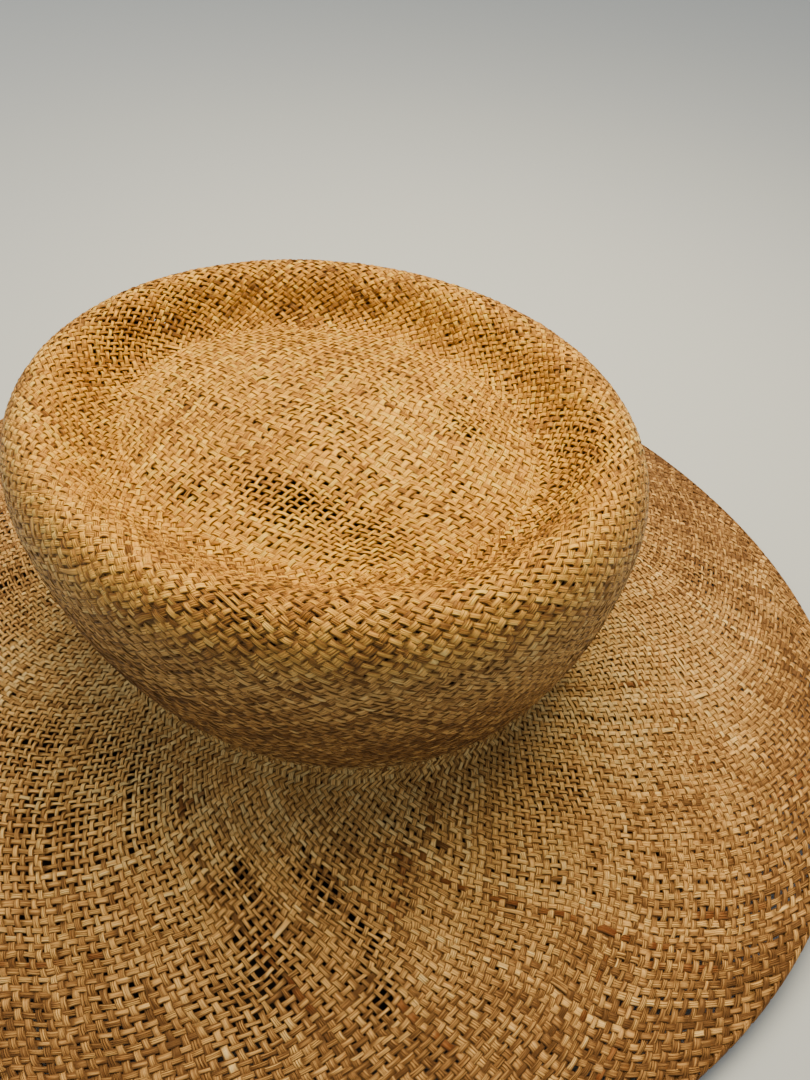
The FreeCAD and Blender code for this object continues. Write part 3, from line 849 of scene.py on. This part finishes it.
def square_ends(laid):
    """Turn the last rings of the strips, over one crossing, until they lie along the edge."""
    turn = np.clip(np.arange(-laid["wave"].shape[1] + 1, 1) / STEPS + 1, 0, 1)[:, None]
    edgeways, _, _ = cloth_ways(laid["angle"], laid["down"])
    edgeways = unit(edgeways) * np.sign((edgeways * laid["across"]).sum(-1, keepdims=True))
    turned = unit(laid["across"] * (1 - turn) + edgeways * turn)
    laid["width"] = laid["width"] / np.abs((turned * laid["across"]).sum(-1))
    laid["across"] = turned


for hand, laid in zip(("right", "left"), brim_sets):
    square_ends(laid)
    end = laid["wave"].shape[1] - 1
    half = end // 2 // STEPS * STEPS
    for zone, first, last, nodes in (("inner", 0, half, ("brim",)),
                                     ("outer", half, end, ("brim", "brim_edge"))):
        for part, strips in halves(BRIM_STRIPS):
            finish_strips(f"brim_{zone}_{hand}_strips_{part}",
                          cut_steps(laid, first, last, strips), *nodes)


# ---------------------------------------------------------------- brim edge
#
# At the edge every strip is bent back round the nose and lies under the brim, along the
# strips of the other set, so the border is double and no cut end shows from above.

NOSE_OVER, NOSE_UNDER = 0.85, 0.32  # radius of the bend, where a strip ends over or under
FOLD_FROM = -0.6
TURNED_BACK, BACK_VARIES = 7.2, 0.8
NOSE_STEPS, BACK_STEPS = 6, 6
FOLD_THIN, FOLD_TAPER, FOLD_SHADE = 0.9, 0.7, 0.6


def turned_back(laid, way):
    """The strips' ends, from just before the edge, round the nose and back underneath."""
    count = laid["wave"].shape[0]
    last = {key: values[:, -1:] for key, values in laid.items()}
    radius = np.where(last["wave"] > 0, NOSE_OVER, NOSE_UNDER)
    turn = np.linspace(0, math.pi, NOSE_STEPS + 1)[None, :]
    back = np.linspace(0, 1, BACK_STEPS + 1)[None, 1:] * (
        TURNED_BACK + BACK_VARIES * dice.normal(size=(count, 1)))
    before = np.full((count, 1), FOLD_FROM)
    reach = np.concatenate([before, radius * np.sin(turn), -back], axis=1)
    bend = np.concatenate([np.zeros((count, 1)), np.broadcast_to(turn, (count, NOSE_STEPS + 1)),
                           np.full(back.shape, math.pi)], axis=1)
    gone = np.concatenate([before, radius * turn, radius * math.pi + back], axis=1)
    round_hat = (BRIM_LENGTH - BRIM_OVAL / 2) / 2
    slant = math.tan(math.radians(BRIM_LEANS[-1][1]))
    angle = last["angle"] + way * slant * gone / round_hat
    down = EDGE_DOWN + reach
    round_way, down_way, outward = cloth_ways(angle, down)
    depth = MIDDLE - last["wave"] * LIFT + radius * (1 - np.cos(bend))
    middle = cloth_points(angle, down) - outward * depth[..., None]
    face = unit(outward * np.cos(bend)[..., None] + down_way * np.sin(bend)[..., None])
    across = unit(round_way)
    across = across * np.sign((across * last["across"]).sum(-1, keepdims=True))
    taper = np.ones(reach.shape)
    taper[:, -1] = FOLD_TAPER
    full = np.ones(reach.shape)
    return {"middle": middle, "across": across, "outward": face,
            "width": last["width"] * taper, "thick": last["thick"] * FOLD_THIN * full,
            "tilt": 0 * full, "length": last["length"] + gone, "tone": last["tone"] * full,
            "red": 0 * full, "grey": last["grey"] * full, "split": last["split"] * full,
            "wave": FOLD_SHADE * full}


for hand, way, laid in zip(("right", "left"), (1, -1), brim_sets):
    finish_strips(f"brim_edge_{hand}_folds", turned_back(laid, way), "brim_edge")


# ---------------------------------------------------------------- sweatband
#
# A ribbed cotton ribbon stands inside the foot of the wall, leaning out less than the wall
# does. Its two ends meet at the back of the head.

BAND_HEIGHT, BAND_THICKNESS = 32.0, 1.0
BAND_START, BAND_LEAN, BAND_INSIDE = 1.0, 3.0, 1.8  # above the crease, outwards, inside it
BAND_SLIT = 0.6
BAND_SEGMENTS, UP_SEGMENTS = 280, 12
THINNED = 0.12  # so that its soft waves keep inside its place
SELVEDGE_FROM, SELVEDGE_FADE = 0.90, 0.06


def ribbon_points(angle, height, depth):
    """Points of the ribbon, height above its foot and depth inside its outer face."""
    plan = crease_points(angle, BAND_LEAN * height / BAND_HEIGHT - BAND_INSIDE - depth)
    return np.concatenate([plan, (CREASE_HEIGHT + BAND_START + height)[..., None]], -1)


def angle_aside(distance):
    """The angle from the middle of the back to a place that far to one side."""
    return math.asin(distance / ((HEAD_LENGTH - HEAD_OVAL) / 2 - BAND_INSIDE))


def ribbon_material():
    """Matt cotton ribbon: fine upright ribs, crossed by finer threads, a selvedge on each edge."""
    paint = Paint("ribbed_cotton")
    paint.shader.inputs["Specular IOR Level"].default_value = 0.2
    cloth, along, up, edge = paint.parts("cloth")
    ribs = paint.math("SINE", paint.math("MULTIPLY", along, 2 * math.pi / 1.1))
    threads = paint.math("SINE", paint.math("MULTIPLY_ADD", ribs, 0.8, paint.math(
        "MULTIPLY", up, 2 * math.pi / 0.45)))
    worn = paint.noise(cloth, (0.05, 0.09, 1.0), 3.0, 5.0)
    slubs = paint.noise(cloth, (2.2, 0.35, 1.0), 2.0, 17.0)
    tone = paint.math("MULTIPLY_ADD", worn, 0.55, paint.math("MULTIPLY", slubs, 0.35))
    tone = paint.math("MULTIPLY_ADD", ribs, 0.07, tone)
    tone = paint.math("MULTIPLY_ADD", threads, 0.04, tone)
    colour = paint.ramp(tone, (0.15, (0.30, 0.19, 0.09)), (0.45, (0.50, 0.36, 0.20)),
                        (0.80, (0.66, 0.51, 0.33)))
    colour = paint.mix(paint.math("MULTIPLY", edge, 0.45), colour, (0.36, 0.24, 0.12, 1))
    paint.links.new(colour, paint.shader.inputs["Base Color"])
    paint.shader.inputs["Roughness"].default_value = 0.86
    paint.shader.inputs["Sheen Weight"].default_value = 0.15
    height = paint.math("MULTIPLY_ADD", threads, 0.25, paint.math("MULTIPLY", ribs, 0.6))
    height = paint.math("MULTIPLY_ADD", edge, 0.6, height)
    paint.wear(height, 0.6, 0.00025)
    return paint.material


ribbon = ribbon_material()


def cloth_strip(name, first, last, depth, thickness, segments, node):
    """An upright strip of ribbon bent round inside the wall, from one angle to another."""
    bm = bmesh.new()
    bmesh.ops.create_grid(bm, x_segments=segments, y_segments=UP_SEGMENTS, size=1)
    mesh = as_mesh(bm, name)
    corner = corners(mesh)
    angle = first + (last - first) * (corner[:, 0] + 1) / 2
    height = BAND_HEIGHT * (corner[:, 1] + 1) / 2
    soft = 0.10 * np.sin(23 * angle) + 0.08 * np.sin(41 * angle + 1)
    place = ribbon_points(angle, height,
                          depth + thickness / 2 - soft * (height / BAND_HEIGHT) ** 2)
    place[:, 2] += 0.12 * np.sin(17 * angle + 2) * (height / BAND_HEIGHT)
    put_corners(mesh, place)
    middle_radius = (HEAD_LENGTH - HEAD_OVAL / 2) / 2 - BAND_INSIDE
    edge = np.clip((np.abs(corner[:, 1]) - SELVEDGE_FROM) / SELVEDGE_FADE, 0, 1)
    mark_corners(mesh, "cloth", angle * middle_radius, height, edge)
    mesh.shade_smooth()
    piece = part_of_hat(name, mesh, ribbon, "ribbon", node)
    wall = piece.modifiers.new("thickness", "SOLIDIFY")
    wall.thickness = (thickness - THINNED) * MM
    wall.offset = 0


band_slit = angle_aside(BAND_SLIT / 2)
cloth_strip("sweatband_ribbon", band_slit - math.pi, math.pi - band_slit, 0.0, BAND_THICKNESS,
            BAND_SEGMENTS, "sweatband")


# ---------------------------------------------------------------- sweatband join
#
# A short piece of the same ribbon lies over the two ends and holds them together.

JOIN_WIDTH, JOIN_THICKNESS, JOIN_SEGMENTS = 14.0, 0.8, 14
join_flap = angle_aside(JOIN_WIDTH / 2)
cloth_strip("sweatband_join_tape", math.pi - join_flap, math.pi + join_flap, BAND_THICKNESS,
            JOIN_THICKNESS, JOIN_SEGMENTS, "sweatband_join")


# ---------------------------------------------------------------- thread
#
# Two-ply cotton thread: running stitches along the ribbon's foot sew it to the straw, and
# more run up both sides of the tape. Each stitch goes into the ribbon at its two ends.

THREAD = 0.7
STITCH_LENGTH, STITCH_HEIGHT = 4.5, 4.0
STITCH_COUNT, JOIN_STITCH_COUNT = 72, 5
STITCH_STEPS, STITCH_SIDES = 8, 6
STITCH_ARCH, STITCH_DEEP, FLATTENED = 0.62, 1.5, 0.42  # in threads
FROM_TAPE_EDGE = 1.6


def thread_material():
    """Twisted cotton, its two plies a slanting pattern along the stitch."""
    paint = Paint("cotton_thread")
    paint.shader.inputs["Specular IOR Level"].default_value = 0.25
    cloth, along, turn, _ = paint.parts("cloth")
    ply = paint.math("SINE", paint.math("MULTIPLY_ADD", along, 2 * math.pi / 0.9,
                                        paint.math("MULTIPLY", turn, 2.0)))
    fuzz = paint.noise(cloth, (3.0, 2.0, 1.0), 2.0, 7.0)
    tone = paint.math("MULTIPLY_ADD", ply, 0.22, paint.math("MULTIPLY_ADD", fuzz, 0.5, 0.25))
    colour = paint.ramp(tone, (0.15, (0.36, 0.24, 0.12)), (0.5, (0.62, 0.47, 0.28)),
                        (0.85, (0.78, 0.64, 0.42)))
    paint.links.new(colour, paint.shader.inputs["Base Color"])
    paint.shader.inputs["Roughness"].default_value = 0.75
    paint.wear(ply, 0.7, 0.0001)
    return paint.material


thread = thread_material()


def sew(name, stitches, node):
    """Stitches, each with its middle on the cloth, the way along it and the way out."""
    bm = bmesh.new()
    bmesh.ops.create_cone(bm, cap_ends=True, segments=STITCH_SIDES, radius1=1, radius2=1,
                          depth=2)
    long = [edge for edge in bm.edges if abs(edge.verts[0].co.z - edge.verts[1].co.z) > 1]
    bmesh.ops.subdivide_edges(bm, edges=long, cuts=STITCH_STEPS - 1, use_grid_fill=True)
    bmesh.ops.recalc_face_normals(bm, faces=bm.faces)
    for face in bm.faces:
        face.smooth = len(face.verts) == 4
    mesh, corner = bundle(name, len(stitches), as_mesh(bm, "stitch"))
    aside, high, run = corner.T
    arch = (THREAD * STITCH_ARCH) * (1 - np.abs(run) ** 3.5 * STITCH_DEEP)
    middle, along, outward = (np.array(way) for way in zip(*stitches))
    across = np.cross(outward, along)
    place = (middle[:, None] + along[:, None] * (run * STITCH_LENGTH / 2)[:, None]
             + across[:, None] * (aside * THREAD / 2)[:, None]
             + outward[:, None] * (high * THREAD * FLATTENED + arch)[:, None])
    put_corners(mesh, place)
    turn = np.broadcast_to(np.arctan2(high, aside), place.shape[:2])
    number = np.broadcast_to(np.arange(len(stitches))[:, None] * 5.3, turn.shape)
    length = np.broadcast_to(run * STITCH_LENGTH / 2, turn.shape)
    mark_corners(mesh, "cloth", length, turn, number)
    part_of_hat(name, mesh, thread, "thread", node)


def stitch_at(angle, height, depth, upright):
    """One stitch on a face of the ribbon or tape: its middle, its way and the way inwards."""
    angle, height, depth = (np.array([value], float) for value in (angle, height, depth))
    middle = ribbon_points(angle, height, depth)[0]
    outward = np.append(crease_points(angle, np.ones(1)) - crease_points(angle, np.zeros(1)), 0.0)
    if upright:
        along = unit(ribbon_points(angle, np.full(1, BAND_HEIGHT), depth)[0]
                     - ribbon_points(angle, np.zeros(1), depth)[0])
    else:
        along = np.array([-outward[1], outward[0], 0.0])
    inward = unit(-outward - along * (-outward @ along))
    return middle, along, inward


foot_stitches = []
for number in range(STITCH_COUNT):
    stitch = stitch_at(2 * math.pi * (number + 0.5) / STITCH_COUNT, STITCH_HEIGHT,
                       BAND_THICKNESS, False)
    if stitch[0][0] > 0 or abs(stitch[0][1]) > JOIN_WIDTH / 2 + STITCH_LENGTH:
        foot_stitches.append(stitch)
sew("sweatband_foot_stitches", foot_stitches, "sweatband_stitches")

in_tape = angle_aside(JOIN_WIDTH / 2 - FROM_TAPE_EDGE)
sew("sweatband_tape_stitches",
    [stitch_at(math.pi + side, (number + 0.5) * BAND_HEIGHT / JOIN_STITCH_COUNT,
               BAND_THICKNESS + JOIN_THICKNESS, True)
     for side in (-in_tape, in_tape) for number in range(JOIN_STITCH_COUNT)],
    "join_stitches")
